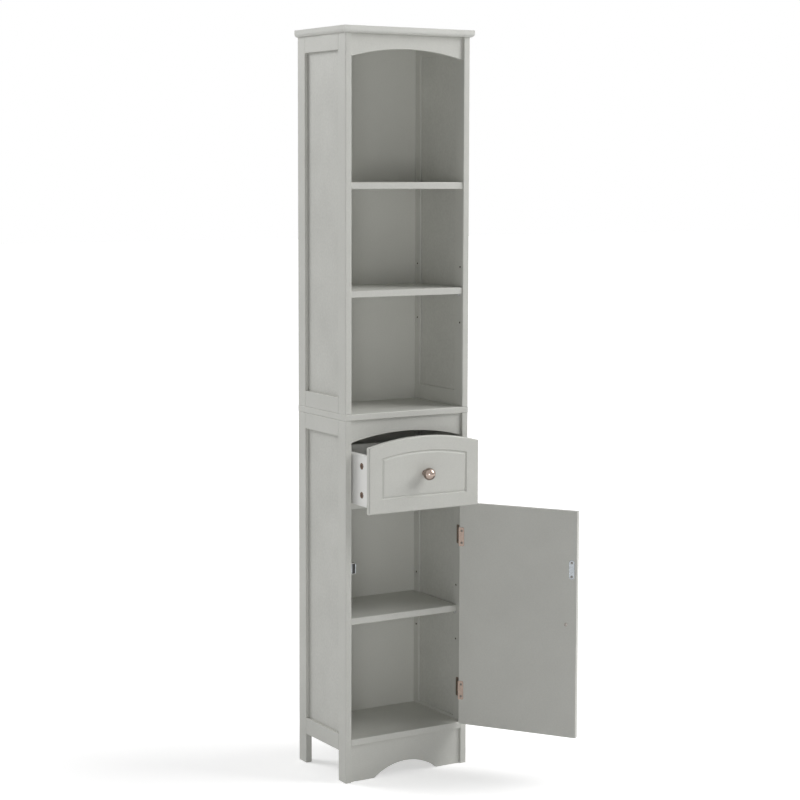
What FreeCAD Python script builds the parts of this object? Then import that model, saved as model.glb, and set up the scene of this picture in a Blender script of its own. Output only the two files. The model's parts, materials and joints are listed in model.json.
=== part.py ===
import FreeCAD, Part
import math
import os

# Tall bathroom cabinet: an open shelf unit standing on a base unit that has one
# drawer and one door. Millimetres, +Z up, the front faces -Y. It is drawn about the
# middle of its footprint and then moved, so that its origin is the middle of the
# front left leg's foot. The drawer and the door stand open.

# ---------------------------------------------------------------- overall sizes
overall_height = 1700.0
overall_width = 340.0
overall_depth = 230.0

crown_overhang = 8.0
crown_thickness = 16.0
crown_top_round = 2.0
board_thickness = 15.0
board_edge_round = 1.2

# ------------------------------------------------------------------ side frames
stile_width = 34.0
frame_thickness = 15.0
rail_height = 36.0
foot_rail_height = 38.0
leg_height = 70.0
stile_edge_round = 1.5
side_panel_thickness = 3.0
side_panel_recess = 8.0
groove_depth = 5.0
groove_clearance = 0.15
panel_end_gap = 0.5

# ------------------------------------------------- levels and bays of the carcass
middle_board_height = 828.0
bottom_board_top = 100.0
drawer_bay_height = 187.0
top_shelf_rise = 500.0
shelf_rise = 260.0
shelf_front_inset = 3.0
lower_shelf_front_inset = 18.0
shelf_end_gap = 0.5
shelf_back_gap = 0.7

back_panel_thickness = 3.0
back_panel_inset = 8.0

# ------------------------------------------------------ arched valances and apron
valance_thickness = 12.0
valance_inset = 6.0
valance_end_height = 51.0
valance_rise = 19.5
apron_thickness = 12.0
apron_inset = 5.0
apron_arch_width = 168.0
apron_arch_rise = 29.0

# ------------------------------------------------------------------- shelf pins
pin_diameter = 5.0
pin_hole_clearance = 0.05
pin_depth = 8.0
pin_head_diameter = 7.0
pin_head_length = 6.0
pin_row_pitch = 64.0
pin_from_front_upper = 14.0
pin_from_front_lower = 24.0
pin_from_back = 22.0

# ----------------------------------------------------------------------- drawer
drawer_open = 74.0
drawer_front_thickness = 12.0
drawer_front_gap = 3.0
drawer_arch_gap = 2.5
drawer_front_drop = 15.0
drawer_board_thickness = 12.0
drawer_side_height = 115.0
drawer_length = 193.0
drawer_side_inset = 1.0
drawer_rest_gap = 0.2
drawer_stop_gap = 1.0
drawer_bottom_thickness = 3.0
drawer_bottom_rise = 9.0
drawer_screw_reach = 18.0
drawer_groove_depth = 4.0
front_edge_round = 2.0
panel_line_margin = 36.0
panel_line_width = 4.0
panel_line_depth = 2.0

# ------------------------------------------------------------------------- door
door_open_angle = 124.0
door_thickness = 15.0
door_side_gap = 3.0
door_bottom_gap = 1.5
door_top_gap = 2.5

# ----------------------------------------------------------------------- hinges
hinge_height = 44.0
hinge_from_door_end = 80.0
hinge_axis_proud = 3.0
leaf_thickness = 1.2
leaf_depth = 20.0
leaf_wrap = 12.0
leaf_corner_round = 3.0
knuckle_count = 3
knuckle_gap = 0.2
knuckle_clearance = 0.3
hinge_pin_diameter = 2.5
hinge_pin_clearance = 0.05
hinge_pin_tip_length = 1.4
hinge_pin_tip_taper = 0.5
leaf_screw_spread = 28.0
leaf_screw_from_front = 12.0
wrap_screw_from_edge = 6.5

# ----------------------------------------------------------------- wood screws
screw_diameter = 2.8
screw_head_diameter = 5.6
screw_head_height = 1.4
screw_length = 11.0
screw_tip_diameter = 0.7
screw_clearance = 0.05
fastener_sides = 6

# ------------------------------------------------------------------------ knobs
knob_diameter = 28.0
knob_centre_proud = 19.0
knob_neck_diameter = 10.0
knob_tip_diameter = 4.0
knob_base_diameter = 15.0
knob_base_thickness = 2.0
knob_waist_hollow = 0.5
knob_bands = 8
knob_sides = 20
knob_screw_diameter = 4.0
knob_screw_reach = 10.0
knob_screw_head_diameter = 8.5
knob_screw_head_height = 2.2
knob_screw_head_round = 1.1
knob_hole_clearance = 0.2
door_knob_from_edge = 25.0

# --------------------------------------------------- magnetic catch and its plate
strike_width = 12.5
strike_height = 44.0
strike_thickness = 1.2
strike_from_edge = 12.0
strike_below_door_top = 134.0
strike_screw_spread = 32.0
catch_width = 21.0
catch_depth = 13.0
catch_block_height = 26.0
catch_ear_height = 9.0
catch_ear_thickness = 3.0
catch_air_gap = 0.4
pole_thickness = 1.6
pole_height = 22.0
pole_depth = 11.0
pole_spacing = 8.0
pole_proud = 1.0
magnet_clearance = 0.1

# ------------------------------------------- cam locks, cam bolts and wood dowels
cam_diameter = 15.0
cam_sides = 8
cam_height = 9.5
cam_clearance = 0.1
cam_from_joint = 24.0
cam_slot_width = 7.4
cam_bolt_diameter = 5.0
cam_bolt_head_diameter = 7.0
cam_bolt_head_length = 4.0
cam_bolt_bore_clearance = 0.15
cam_bolt_anchor = 9.0
drawer_cam_from_edge = 25.0
board_cam_from_front = 22.0
board_cam_from_back = 24.0
dowel_diameter = 6.0
dowel_in_board = 7.0
dowel_in_stile = 22.0
dowel_clearance = 0.05

# ------------------------------------------------------------------ worked out
body_width = overall_width - 2.0 * crown_overhang
body_depth = overall_depth - crown_overhang
side_x = body_width / 2.0
front_y = -body_depth / 2.0
back_y = body_depth / 2.0
inner_x = side_x - frame_thickness
crown_underside = overall_height - crown_thickness
middle_board_top = middle_board_height + board_thickness
bottom_board_underside = bottom_board_top - board_thickness
divider_top = middle_board_height - drawer_bay_height
divider_underside = divider_top - board_thickness
back_panel_front = back_y - back_panel_inset - back_panel_thickness
board_back = back_panel_front - shelf_back_gap
top_shelf_underside = middle_board_top + top_shelf_rise
middle_shelf_underside = middle_board_top + shelf_rise
lower_shelf_underside = bottom_board_top + shelf_rise
pin_from_shelf = pin_diameter / 2.0
valance_arc_radius = (inner_x ** 2 + valance_rise ** 2) / (2.0 * valance_rise)

drawer_side_x = inner_x - drawer_front_gap - drawer_side_inset
drawer_bottom_z = divider_top + drawer_rest_gap
drawer_back_y = front_y + drawer_front_thickness + drawer_length
drawer_front_bottom = divider_top - drawer_front_drop
divider_front = front_y + drawer_front_thickness + drawer_stop_gap

door_bottom = bottom_board_top + door_bottom_gap
door_top = drawer_front_bottom - door_top_gap
door_right = inner_x - door_side_gap
door_left = -inner_x + door_side_gap
door_inner_y = front_y + door_thickness
hinge_axis_x = inner_x - door_side_gap / 2.0
hinge_axis_y = front_y - hinge_axis_proud
hinge_heights = [door_bottom + hinge_from_door_end, door_top - hinge_from_door_end]
strike_x = door_left + strike_from_edge
strike_z = door_top - strike_below_door_top
door_knob_x = door_left + door_knob_from_edge
door_knob_z = (door_bottom + door_top) / 2.0

AXIS_X = FreeCAD.Vector(1, 0, 0)
AXIS_Y = FreeCAD.Vector(0, 1, 0)
AXIS_Z = FreeCAD.Vector(0, 0, 1)
ORIGIN = FreeCAD.Vector(0, 0, 0)
TOUCHING = 1e-4


# ------------------------------------------------------------- building helpers
def point(x, y, z):
    """Return a point."""
    return FreeCAD.Vector(x, y, z)


def block(x0, x1, y0, y1, z0, z1):
    """Return a rectangular board between three pairs of planes."""
    return Part.makeBox(x1 - x0, y1 - y0, z1 - z0, point(x0, y0, z0))


def rod(diameter, length, start, axis):
    """Return a round bar that runs from its start along an axis."""
    return Part.makeCylinder(diameter / 2.0, length, start, axis)


def flat_face(corners):
    """Return the flat face with these corners."""
    return Part.Face(Part.makePolygon(corners + corners[:1]))


def ring(diameter, centre, axis, sides):
    """Return the corners of a many-sided ring round an axis."""
    upright = AXIS_X if abs(axis.z) > 0.5 else AXIS_Z
    sideways = axis.cross(upright)
    corners = []
    for index in range(sides):
        turn = 2.0 * math.pi * index / sides
        outward = upright * math.cos(turn) + sideways * math.sin(turn)
        corners.append(centre + outward * (diameter / 2.0))
    return corners


def fastener(profile, start, axis, sides=fastener_sides):
    """Return a many-sided bar along an axis, given as (distance from start, diameter) pairs.

    Small fasteners and the holes that they fit are many-sided, which keeps the model light.
    """
    rings = [ring(diameter, start + axis * distance, axis, sides) for distance, diameter in profile]
    faces = [flat_face(rings[0]), flat_face(rings[-1])]
    for near, far in zip(rings, rings[1:]):
        for index in range(sides):
            after = (index + 1) % sides
            faces.append(flat_face([near[index], near[after], far[after], far[index]]))
    shell = Part.makeShell(faces)
    shell.sewShape()
    solid = Part.makeSolid(shell)
    if solid.Volume < 0.0:
        solid.reverse()
    return solid


def bar(diameter, length, start, axis, sides=fastener_sides):
    """Return a straight many-sided bar or the hole for one."""
    return fastener([(0.0, diameter), (length, diameter)], start, axis, sides)


def mirrored(shape):
    """Return the copy of a left-hand piece for the right-hand side."""
    return shape.mirror(ORIGIN, AXIS_X)


def round_edges(shape, radius, wanted):
    """Round the edges of a shape for which wanted(edge) is true."""
    chosen = [edge for edge in shape.Edges if wanted(edge)]
    return shape.makeFillet(radius, chosen)


def runs_along(edge, axis):
    """Say whether an edge is straight and parallel to an axis."""
    if not isinstance(edge.Curve, Part.Line):
        return False
    return abs(abs(edge.tangentAt(edge.FirstParameter).dot(axis)) - 1.0) < TOUCHING ** 2


def at_y(edge, y):
    """Say whether a whole edge lies in the plane at one depth."""
    return abs(edge.BoundBox.YMin - y) < TOUCHING and abs(edge.BoundBox.YMax - y) < TOUCHING


def at_z(edge, z):
    """Say whether a whole edge lies in the plane at one height."""
    return abs(edge.BoundBox.ZMin - z) < TOUCHING and abs(edge.BoundBox.ZMax - z) < TOUCHING


def group(shapes):
    """Return separate solids as one compound."""
    return Part.makeCompound(shapes)


def cut_all(shape, cutters):
    """Cut a list of shapes out of a shape."""
    for cutter in cutters:
        shape = shape.cut(cutter)
    return shape


# ---------------------------------------------------------------- wood screws
def wood_screw(head_centre, axis, length=screw_length):
    """Return a countersunk screw whose flat head lies at head_centre."""
    profile = [
        (0.0, screw_head_diameter),
        (screw_head_height, screw_diameter),
        (length - screw_diameter, screw_diameter),
        (length, screw_tip_diameter),
    ]
    return fastener(profile, head_centre, axis)


def screw_hole(head_centre, axis, length=screw_length):
    """Return the countersunk hole that the screw fits."""
    play = 2.0 * screw_clearance
    profile = [
        (0.0, screw_head_diameter + play),
        (screw_head_height, screw_diameter + play),
        (length + screw_clearance, screw_diameter + play),
    ]
    return fastener(profile, head_centre, axis)


# --------------------------------------------------------------- shelf pins
def pin_places(underside, from_front):
    """Return the four places of the pins that carry one shelf, on the stiles' inner faces."""
    height = underside - pin_from_shelf
    depths = [front_y + from_front, back_y - pin_from_back]
    return [(side, depth, height) for side in (-1, 1) for depth in depths]


def shelf_pin(side, depth, height):
    """Return one shelf pin: a round shaft in the stile and a head with a flat top."""
    inward = AXIS_X * -side
    wall = point(side * inner_x, depth, height)
    profile = [
        (-pin_depth, pin_diameter),
        (0.0, pin_diameter),
        (0.0, pin_head_diameter),
        (pin_head_length, pin_head_diameter),
    ]
    seat = height + pin_from_shelf
    above = block(-side_x, side_x, depth - pin_head_diameter, depth + pin_head_diameter,
                  seat, seat + pin_head_diameter)
    return fastener(profile, wall, inward).cut(above)


def pin_holes(side, underside, from_front, near_front):
    """Return the column of three pin holes in one stile, around a shelf's height."""
    depth = front_y + from_front if near_front else back_y - pin_from_back
    bore = pin_diameter + 2.0 * pin_hole_clearance
    holes = []
    for row in (-1, 0, 1):
        height = underside - pin_from_shelf + row * pin_row_pitch
        wall = point(side * inner_x, depth, height)
        holes.append(bar(bore, pin_depth + pin_hole_clearance, wall, AXIS_X * side))
    return holes


# ------------------------------------------------- cam locks, bolts and dowels
def cam_lock(face_centre, inward, towards_joint):
    """Return one cam: a disc let into a board's face, open towards its bolt."""
    body = bar(cam_diameter, cam_height, face_centre, inward, cam_sides)
    sideways = inward.cross(towards_joint)
    middle = face_centre + inward * (cam_height / 2.0)
    slot = Part.makeBox(cam_diameter, cam_slot_width, cam_slot_width)
    slot.translate(point(0.0, -cam_slot_width / 2.0, -cam_slot_width / 2.0))
    turn = FreeCAD.Matrix(
        towards_joint.x, sideways.x, inward.x, middle.x,
        towards_joint.y, sideways.y, inward.y, middle.y,
        towards_joint.z, sideways.z, inward.z, middle.z,
        0.0, 0.0, 0.0, 1.0)
    slot = slot.transformGeometry(turn)
    return body.cut(slot)


def cam_hole(face_centre, inward):
    """Return the round pocket that a cam fits."""
    diameter = cam_diameter + 2.0 * cam_clearance
    return bar(diameter, cam_height + cam_clearance, face_centre, inward, cam_sides)


def cam_bolt(joint_point, towards_cam):
    """Return a cam bolt: anchored past the joint, with its head inside the cam."""
    head_start = cam_from_joint - cam_bolt_head_length
    profile = [
        (-cam_bolt_anchor, cam_bolt_diameter),
        (head_start, cam_bolt_diameter),
        (head_start, cam_bolt_head_diameter),
        (cam_from_joint, cam_bolt_head_diameter),
    ]
    return fastener(profile, joint_point, towards_cam)


def cam_bolt_bore(joint_point, towards_cam):
    """Return the bore from a board's end to its cam."""
    bore = cam_bolt_head_diameter + 2.0 * cam_bolt_bore_clearance
    return bar(bore, cam_from_joint, joint_point, towards_cam)


def cam_bolt_anchor_hole(joint_point, towards_cam):
    """Return the hole that the bolt is screwed into."""
    bore = cam_bolt_diameter + 2.0 * screw_clearance
    return bar(bore, cam_bolt_anchor + screw_clearance, joint_point, towards_cam * -1)


def fixed_board_joints(underside):
    """Return side, joint point, direction to the cam and cam face of a fixed board's four joints."""
    joints = []
    height = underside + cam_height / 2.0
    for side in (-1, 1):
        for depth in (front_y + board_cam_from_front, back_y - board_cam_from_back):
            joint_point = point(side * inner_x, depth, height)
            cam_face = point(side * (inner_x - cam_from_joint), depth, underside)
            joints.append((side, joint_point, AXIS_X * -side, cam_face))
    return joints


fixed_board_undersides = [top_shelf_underside, divider_underside, bottom_board_underside]


def dowel_places():
    """Return the places where a dowel joins a stile's end to a board: side, depth, plane, up."""
    planes = [(crown_underside, 1), (middle_board_top, -1), (middle_board_height, 1)]
    depths = [front_y + stile_width / 2.0, back_y - stile_width / 2.0]
    return [(side, depth, plane, up) for side in (-1, 1) for depth in depths for plane, up in planes]


def frame_dowel(side, depth, plane, up, play=0.0):
    """Return one dowel, or the hole for it where play is its clearance."""
    diameter = dowel_diameter + 2.0 * play
    start = plane - up * (dowel_in_stile + play)
    length = dowel_in_stile + dowel_in_board + 2.0 * play
    middle_x = side * (side_x - frame_thickness / 2.0)
    return bar(diameter, length, point(middle_x, depth, start), AXIS_Z * up)


dowel_holes = [frame_dowel(*place, play=dowel_clearance) for place in dowel_places()]


# ------------------------------------------------------------------ side frames
def left_frame_pieces(bottom, top, rail_bottom, bottom_rail_height, top_rail_height):
    """Return the five pieces of a left side frame: stiles, rails and the panel in their grooves."""
    outer = -side_x
    inner = -inner_x
    panel_outer = outer + side_panel_recess
    panel_inner = panel_outer + side_panel_thickness
    groove_outer = panel_outer - groove_clearance
    groove_inner = panel_inner + groove_clearance
    front_joint = front_y + stile_width
    back_joint = back_y - stile_width

    def stile(y0, y1, groove_y0, groove_y1):
        board = block(outer, inner, y0, y1, bottom, top)
        board = round_edges(board, stile_edge_round, lambda edge: runs_along(edge, AXIS_Z)
                            and edge.BoundBox.XMax < outer + TOUCHING)
        groove = block(groove_outer, groove_inner, groove_y0, groove_y1, rail_bottom, top)
        return board.cut(groove)

    def rail(z0, z1, groove_z0, groove_z1):
        board = block(outer, inner, front_joint, back_joint, z0, z1)
        tongue = block(panel_outer, panel_inner, front_joint - groove_depth + panel_end_gap,
                       back_joint + groove_depth - panel_end_gap, z0, z1)
        groove = block(groove_outer, groove_inner, front_joint - groove_depth,
                       back_joint + groove_depth, groove_z0, groove_z1)
        return board.fuse(tongue).cut(groove)

    lower_rail_top = rail_bottom + bottom_rail_height
    upper_rail_bottom = top - top_rail_height
    panel_edge = groove_depth - panel_end_gap
    return {
        "front_stile": stile(front_y, front_joint, front_joint - groove_depth, front_joint),
        "back_stile": stile(back_joint, back_y, back_joint, back_joint + groove_depth),
        "bottom_rail": rail(rail_bottom, lower_rail_top, lower_rail_top - groove_depth, lower_rail_top),
        "top_rail": rail(upper_rail_bottom, top, upper_rail_bottom, upper_rail_bottom + groove_depth),
        "panel": block(panel_outer, panel_inner, front_joint - panel_edge, back_joint + panel_edge,
                       lower_rail_top - panel_edge, upper_rail_bottom + panel_edge),
    }


def back_groove(bottom, top):
    """Return the upright grooves of the back panel, cut into both back stiles."""
    y0 = back_panel_front - groove_clearance
    y1 = back_panel_front + back_panel_thickness + groove_clearance
    reach = inner_x + groove_depth
    return block(-reach, reach, y0, y1, bottom, top)


def side_frames():
    """Return the twenty pieces of the four side frames, with their holes."""
    units = {
        "upper": left_frame_pieces(middle_board_top, crown_underside, middle_board_top,
                                   rail_height, rail_height),
        "lower": left_frame_pieces(0.0, middle_board_height, leg_height, foot_rail_height, rail_height),
    }
    grooves = {
        "upper": back_groove(middle_board_top, crown_underside),
        "lower": back_groove(bottom_board_underside, middle_board_height),
    }
    pin_rows = {
        "upper": (middle_shelf_underside, pin_from_front_upper),
        "lower": (lower_shelf_underside, pin_from_front_lower),
    }
    pieces = {}
    for unit, left_pieces in units.items():
        for side, hand in ((-1, "left"), (1, "right")):
            for piece, left_shape in left_pieces.items():
                shape = left_shape if side < 0 else mirrored(left_shape)
                if piece.endswith("stile"):
                    near_front = piece == "front_stile"
                    underside, from_front = pin_rows[unit]
                    holes = pin_holes(side, underside, from_front, near_front)
                    holes += stile_fixing_holes(side)
                    if not near_front:
                        holes.append(grooves[unit])
                    shape = cut_all(shape, holes)
                pieces[f"{unit}_{hand}_{piece}"] = shape
    lower_right = pieces["lower_right_front_stile"]
    pieces["lower_right_front_stile"] = cut_all(lower_right, cabinet_leaf_screws(screw_hole))
    lower_left = pieces["lower_left_front_stile"]
    pieces["lower_left_front_stile"] = cut_all(lower_left, catch_screws(screw_hole))
    return pieces


def stile_fixing_holes(side):
    """Return the dowel and cam bolt holes of the stiles on one side."""
    holes = [hole for place, hole in zip(dowel_places(), dowel_holes) if place[0] == side]
    for underside in fixed_board_undersides:
        for joint_side, joint_point, towards_cam, _ in fixed_board_joints(underside):
            if joint_side == side:
                holes.append(cam_bolt_anchor_hole(joint_point, towards_cam))
    return holes


# ----------------------------------------------------- boards, shelves, back panels
def crown_board():
    """Return the top board, its lower edge rounded inwards on the front and both sides."""
    half = overall_width / 2.0
    board = block(-half, half, front_y - crown_overhang, back_y, crown_underside, overall_height)

    def on_three_sides(edge, height):
        return at_z(edge, height) and not at_y(edge, back_y)

    board = round_edges(board, crown_overhang, lambda edge: on_three_sides(edge, crown_underside))
    board = round_edges(board, crown_top_round, lambda edge: on_three_sides(edge, overall_height)
                        and isinstance(edge.Curve, Part.Line))
    return cut_all(board, dowel_holes)


def middle_board():
    """Return the full-width board between the two units."""
    board = block(-side_x, side_x, front_y, back_y, middle_board_height, middle_board_top)
    board = round_edges(board, board_edge_round, lambda edge: not at_y(edge, back_y)
                        and (at_z(edge, middle_board_height) or at_z(edge, middle_board_top)))
    return cut_all(board, dowel_holes)


def inner_board(underside, y0, y1, end_gap=0.0):
    """Return a board that fits between the side frames, its front arrises rounded."""
    reach = inner_x - end_gap
    board = block(-reach, reach, y0, y1, underside, underside + board_thickness)
    return round_edges(board, board_edge_round, lambda edge: runs_along(edge, AXIS_X) and at_y(edge, y0))


def fixed_board(underside, y0):
    """Return a board held by cams in its underside."""
    board = inner_board(underside, y0, board_back)
    for _, joint_point, towards_cam, cam_face in fixed_board_joints(underside):
        board = cut_all(board, [cam_hole(cam_face, AXIS_Z), cam_bolt_bore(joint_point, towards_cam)])
    return board


def back_panel(bottom, top):
    """Return a back panel whose upright edges sit in the back stiles' grooves."""
    reach = inner_x + groove_depth - panel_end_gap
    return block(-reach, reach, back_panel_front, back_panel_front + back_panel_thickness, bottom, top)


def arch_outline(half_width, base, spring, rise, y):
    """Return a closed outline: a flat base, upright ends and a round arch on top, at one depth."""
    left_foot = point(-half_width, y, base)
    right_foot = point(half_width, y, base)
    right_top = point(half_width, y, spring)
    left_top = point(-half_width, y, spring)
    crown = point(0.0, y, spring + rise)
    edges = [
        Part.LineSegment(left_foot, right_foot).toShape(),
        Part.LineSegment(right_foot, right_top).toShape(),
        Part.Arc(right_top, crown, left_top).toShape(),
        Part.LineSegment(left_top, left_foot).toShape(),
    ]
    return Part.Wire(edges)


def valance(underside_of_board):
    """Return a rail with an arched lower edge, under a board."""
    y0 = front_y + valance_inset
    bottom = underside_of_board - valance_end_height
    rail = block(-inner_x, inner_x, y0, y0 + valance_thickness, bottom, underside_of_board)
    below = bottom - valance_end_height
    opening = Part.Face(arch_outline(inner_x, below, bottom, valance_rise, y0))
    return rail.cut(opening.extrude(AXIS_Y * valance_thickness))


def apron():
    """Return the foot board under the bottom board, with its low arch."""
    y0 = front_y + apron_inset
    board = block(-inner_x, inner_x, y0, y0 + apron_thickness, 0.0, bottom_board_underside)
    half = apron_arch_width / 2.0
    left_foot = point(-half, y0, 0.0)
    right_foot = point(half, y0, 0.0)
    crown = point(0.0, y0, apron_arch_rise)
    chord = Part.LineSegment(left_foot, right_foot).toShape()
    arch = Part.Arc(right_foot, crown, left_foot).toShape()
    opening = Part.Face(Part.Wire([chord, arch])).extrude(AXIS_Y * apron_thickness)
    return board.cut(opening)


def carcass():
    """Return every board and panel of the carcass that isn't part of a side frame."""
    shelf_front = front_y + shelf_front_inset
    return {
        "crown_board": crown_board(),
        "middle_board": middle_board(),
        "top_shelf": fixed_board(top_shelf_underside, shelf_front),
        "middle_shelf": inner_board(middle_shelf_underside, shelf_front, board_back, shelf_end_gap),
        "lower_shelf": inner_board(lower_shelf_underside, front_y + lower_shelf_front_inset,
                                   board_back, shelf_end_gap),
        "drawer_divider_board": fixed_board(divider_underside, divider_front),
        "bottom_board": fixed_board(bottom_board_underside, front_y),
        "upper_back_panel": back_panel(middle_board_top, crown_underside),
        "lower_back_panel": back_panel(bottom_board_underside, middle_board_height),
        "upper_valance": valance(crown_underside),
        "lower_valance": valance(middle_board_height),
        "apron": apron(),
    }


def carcass_fasteners():
    """Return the shelf pins, cams, cam bolts and dowels of the carcass."""
    pins = [shelf_pin(*place) for place in pin_places(middle_shelf_underside, pin_from_front_upper)]
    pins += [shelf_pin(*place) for place in pin_places(lower_shelf_underside, pin_from_front_lower)]
    cams = []
    bolts = []
    for underside in fixed_board_undersides:
        for _, joint_point, towards_cam, cam_face in fixed_board_joints(underside):
            cams.append(cam_lock(cam_face, AXIS_Z, towards_cam * -1))
            bolts.append(cam_bolt(joint_point, towards_cam))
    dowels = [frame_dowel(*place) for place in dowel_places()]
    return {
        "shelf_pins": group(pins),
        "carcass_cam_locks": group(cams),
        "carcass_cam_bolts": group(bolts),
        "frame_dowels": group(dowels),
    }


# ----------------------------------------------------------------------- drawer
def line_outline(half_width, bottom, spring, arc_radius, y):
    """Return the outline of a routed line: square feet, with an arched top if arc_radius is set."""
    if arc_radius:
        rise = arc_radius - math.sqrt(arc_radius ** 2 - half_width ** 2)
        return arch_outline(half_width, bottom, spring, rise, y)
    corners = [
        point(-half_width, y, bottom),
        point(half_width, y, bottom),
        point(half_width, y, spring),
        point(-half_width, y, spring),
        point(-half_width, y, bottom),
    ]
    return Part.makePolygon(corners)


def routed_line(half_width, bottom, top, arc_radius, face_y):
    """Return the V-shaped groove of a panel line; top is its highest point, cut from face_y inwards."""

    def outline(grow, y):
        wide = half_width + grow
        radius = arc_radius + grow if arc_radius else None
        drop = radius - math.sqrt(radius ** 2 - wide ** 2) if radius else 0.0
        return line_outline(wide, bottom - grow, top + grow - drop, radius, y)

    half_line = panel_line_width / 2.0
    floor_y = face_y + panel_line_depth
    outer = Part.makeLoft([outline(half_line, face_y), outline(0.0, floor_y)], True, True)
    inner = Part.makeLoft([outline(-half_line, face_y), outline(0.0, floor_y)], True, True)
    return outer.cut(inner)


def knob_screw_hole(x, z, face_y, thickness):
    """Return the hole through a front for its knob's screw."""
    bore = knob_screw_diameter + 2.0 * knob_hole_clearance
    return bar(bore, thickness, point(x, face_y, z), AXIS_Y)


def drawer_fixing_heights():
    """Return the two heights at which each drawer side is fixed, at its front and its back."""
    drawer_side_top = drawer_bottom_z + drawer_side_height
    return [drawer_bottom_z + drawer_cam_from_edge, drawer_side_top - drawer_cam_from_edge]


def drawer_joints():
    """Return side, joint point and cam face of the drawer front's four joints."""
    joints = []
    joint_y = front_y + drawer_front_thickness
    for side in (-1, 1):
        for height in drawer_fixing_heights():
            bolt_x = side * (drawer_side_x - cam_height / 2.0)
            joint_point = point(bolt_x, joint_y, height)
            cam_face = point(side * drawer_side_x, joint_y + cam_from_joint, height)
            joints.append((side, joint_point, cam_face))
    return joints


def drawer_front_middle():
    """Return the height of the drawer's knob."""
    arch_top = middle_board_height - valance_end_height + valance_rise - drawer_arch_gap
    return (drawer_front_bottom + arch_top) / 2.0


def drawer_front():
    """Return the drawer front: arched like the valance above it, with a routed panel line."""
    half = inner_x - drawer_front_gap
    radius = valance_arc_radius - drawer_arch_gap
    top = middle_board_height - valance_end_height + valance_rise - drawer_arch_gap
    rise = radius - math.sqrt(radius ** 2 - half ** 2)
    outline = arch_outline(half, drawer_front_bottom, top - rise, rise, front_y)
    front = Part.Face(outline).extrude(AXIS_Y * drawer_front_thickness)
    front = round_edges(front, front_edge_round, lambda edge: at_y(edge, front_y))
    margin = panel_line_margin
    line = routed_line(half - margin, drawer_front_bottom + margin, top - margin,
                       radius - margin, front_y)
    front = front.cut(line)
    cutters = [knob_screw_hole(0.0, drawer_front_middle(), front_y, drawer_front_thickness)]
    cutters += [cam_bolt_anchor_hole(joint_point, AXIS_Y) for _, joint_point, _ in drawer_joints()]
    cutters.append(drawer_bottom_groove())
    return cut_all(front, cutters)


def drawer_bottom_groove():
    """Return the groove that holds the drawer's bottom on all four sides."""
    reach_x = drawer_side_x - drawer_board_thickness + drawer_groove_depth
    joint_y = front_y + drawer_front_thickness
    z0 = drawer_bottom_z + drawer_bottom_rise - groove_clearance
    z1 = drawer_bottom_z + drawer_bottom_rise + drawer_bottom_thickness + groove_clearance
    back = drawer_back_y - drawer_board_thickness + drawer_groove_depth
    return block(-reach_x, reach_x, joint_y - drawer_groove_depth, back, z0, z1)


def drawer_side(side):
    """Return one side of the drawer's box, with its cam pockets on the outside."""
    x0, x1 = sorted((side * drawer_side_x, side * (drawer_side_x - drawer_board_thickness)))
    y0 = front_y + drawer_front_thickness
    board = block(x0, x1, y0, drawer_back_y, drawer_bottom_z, drawer_bottom_z + drawer_side_height)
    board = round_edges(board, board_edge_round, lambda edge: runs_along(edge, AXIS_Y)
                        and at_z(edge, drawer_bottom_z + drawer_side_height))
    cutters = [drawer_bottom_groove()]
    for joint_side, joint_point, cam_face in drawer_joints():
        if joint_side == side:
            cutters.append(cam_hole(cam_face, AXIS_X * -side))
            cutters.append(cam_bolt_bore(joint_point, AXIS_Y))
    cutters += [hole for at_side, hole in drawer_back_fixings(screw_hole) if at_side == side]
    return cut_all(board, cutters)


def drawer_back_fixings(make):
    """Return the side and the screw, or its hole, of each fixing of the drawer's back."""
    middle_y = drawer_back_y - drawer_board_thickness / 2.0
    length = drawer_board_thickness + drawer_screw_reach
    fixings = []
    for side in (-1, 1):
        for height in drawer_fixing_heights():
            head = point(side * drawer_side_x, middle_y, height)
            fixings.append((side, make(head, AXIS_X * -side, length)))
    return fixings


def drawer_back():
    """Return the back board of the drawer's box."""
    reach = drawer_side_x - drawer_board_thickness
    board = block(-reach, reach, drawer_back_y - drawer_board_thickness, drawer_back_y,
                  drawer_bottom_z, drawer_bottom_z + drawer_side_height)
    cutters = [drawer_bottom_groove()]
    cutters += [hole for _, hole in drawer_back_fixings(screw_hole)]
    return cut_all(board, cutters)


def drawer_bottom():
    """Return the thin bottom that slides into the drawer's grooves."""
    edge = drawer_groove_depth - panel_end_gap
    reach = drawer_side_x - drawer_board_thickness + edge
    z0 = drawer_bottom_z + drawer_bottom_rise
    return block(-reach, reach, front_y + drawer_front_thickness - edge,
                 drawer_back_y - drawer_board_thickness + edge, z0, z0 + drawer_bottom_thickness)


def knob_profile():
    """Return the knob's turned outline as (distance from the front, diameter) pairs."""
    ball = knob_diameter / 2.0
    neck_turn = math.pi - math.asin(knob_neck_diameter / knob_diameter)
    tip_turn = math.asin(knob_tip_diameter / knob_diameter)
    neck_end = knob_centre_proud + ball * math.cos(neck_turn)
    outline = [
        (0.0, knob_base_diameter),
        (knob_base_thickness, knob_base_diameter),
        (knob_base_thickness, knob_neck_diameter),
        ((knob_base_thickness + neck_end) / 2.0, knob_neck_diameter - 2.0 * knob_waist_hollow),
    ]
    for step in range(knob_bands + 1):
        turn = neck_turn + (tip_turn - neck_turn) * step / knob_bands
        outline.append((knob_centre_proud + ball * math.cos(turn), knob_diameter * math.sin(turn)))
    return outline


def knob(x, z, face_y):
    """Return a ball knob on a waisted neck, drilled for its screw, facing -Y."""
    foot = point(x, face_y, z)
    bore = bar(knob_screw_diameter + 2.0 * screw_clearance, knob_screw_reach + screw_clearance,
               foot, AXIS_Y * -1)
    return fastener(knob_profile(), foot, AXIS_Y * -1, knob_sides).cut(bore)


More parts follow.
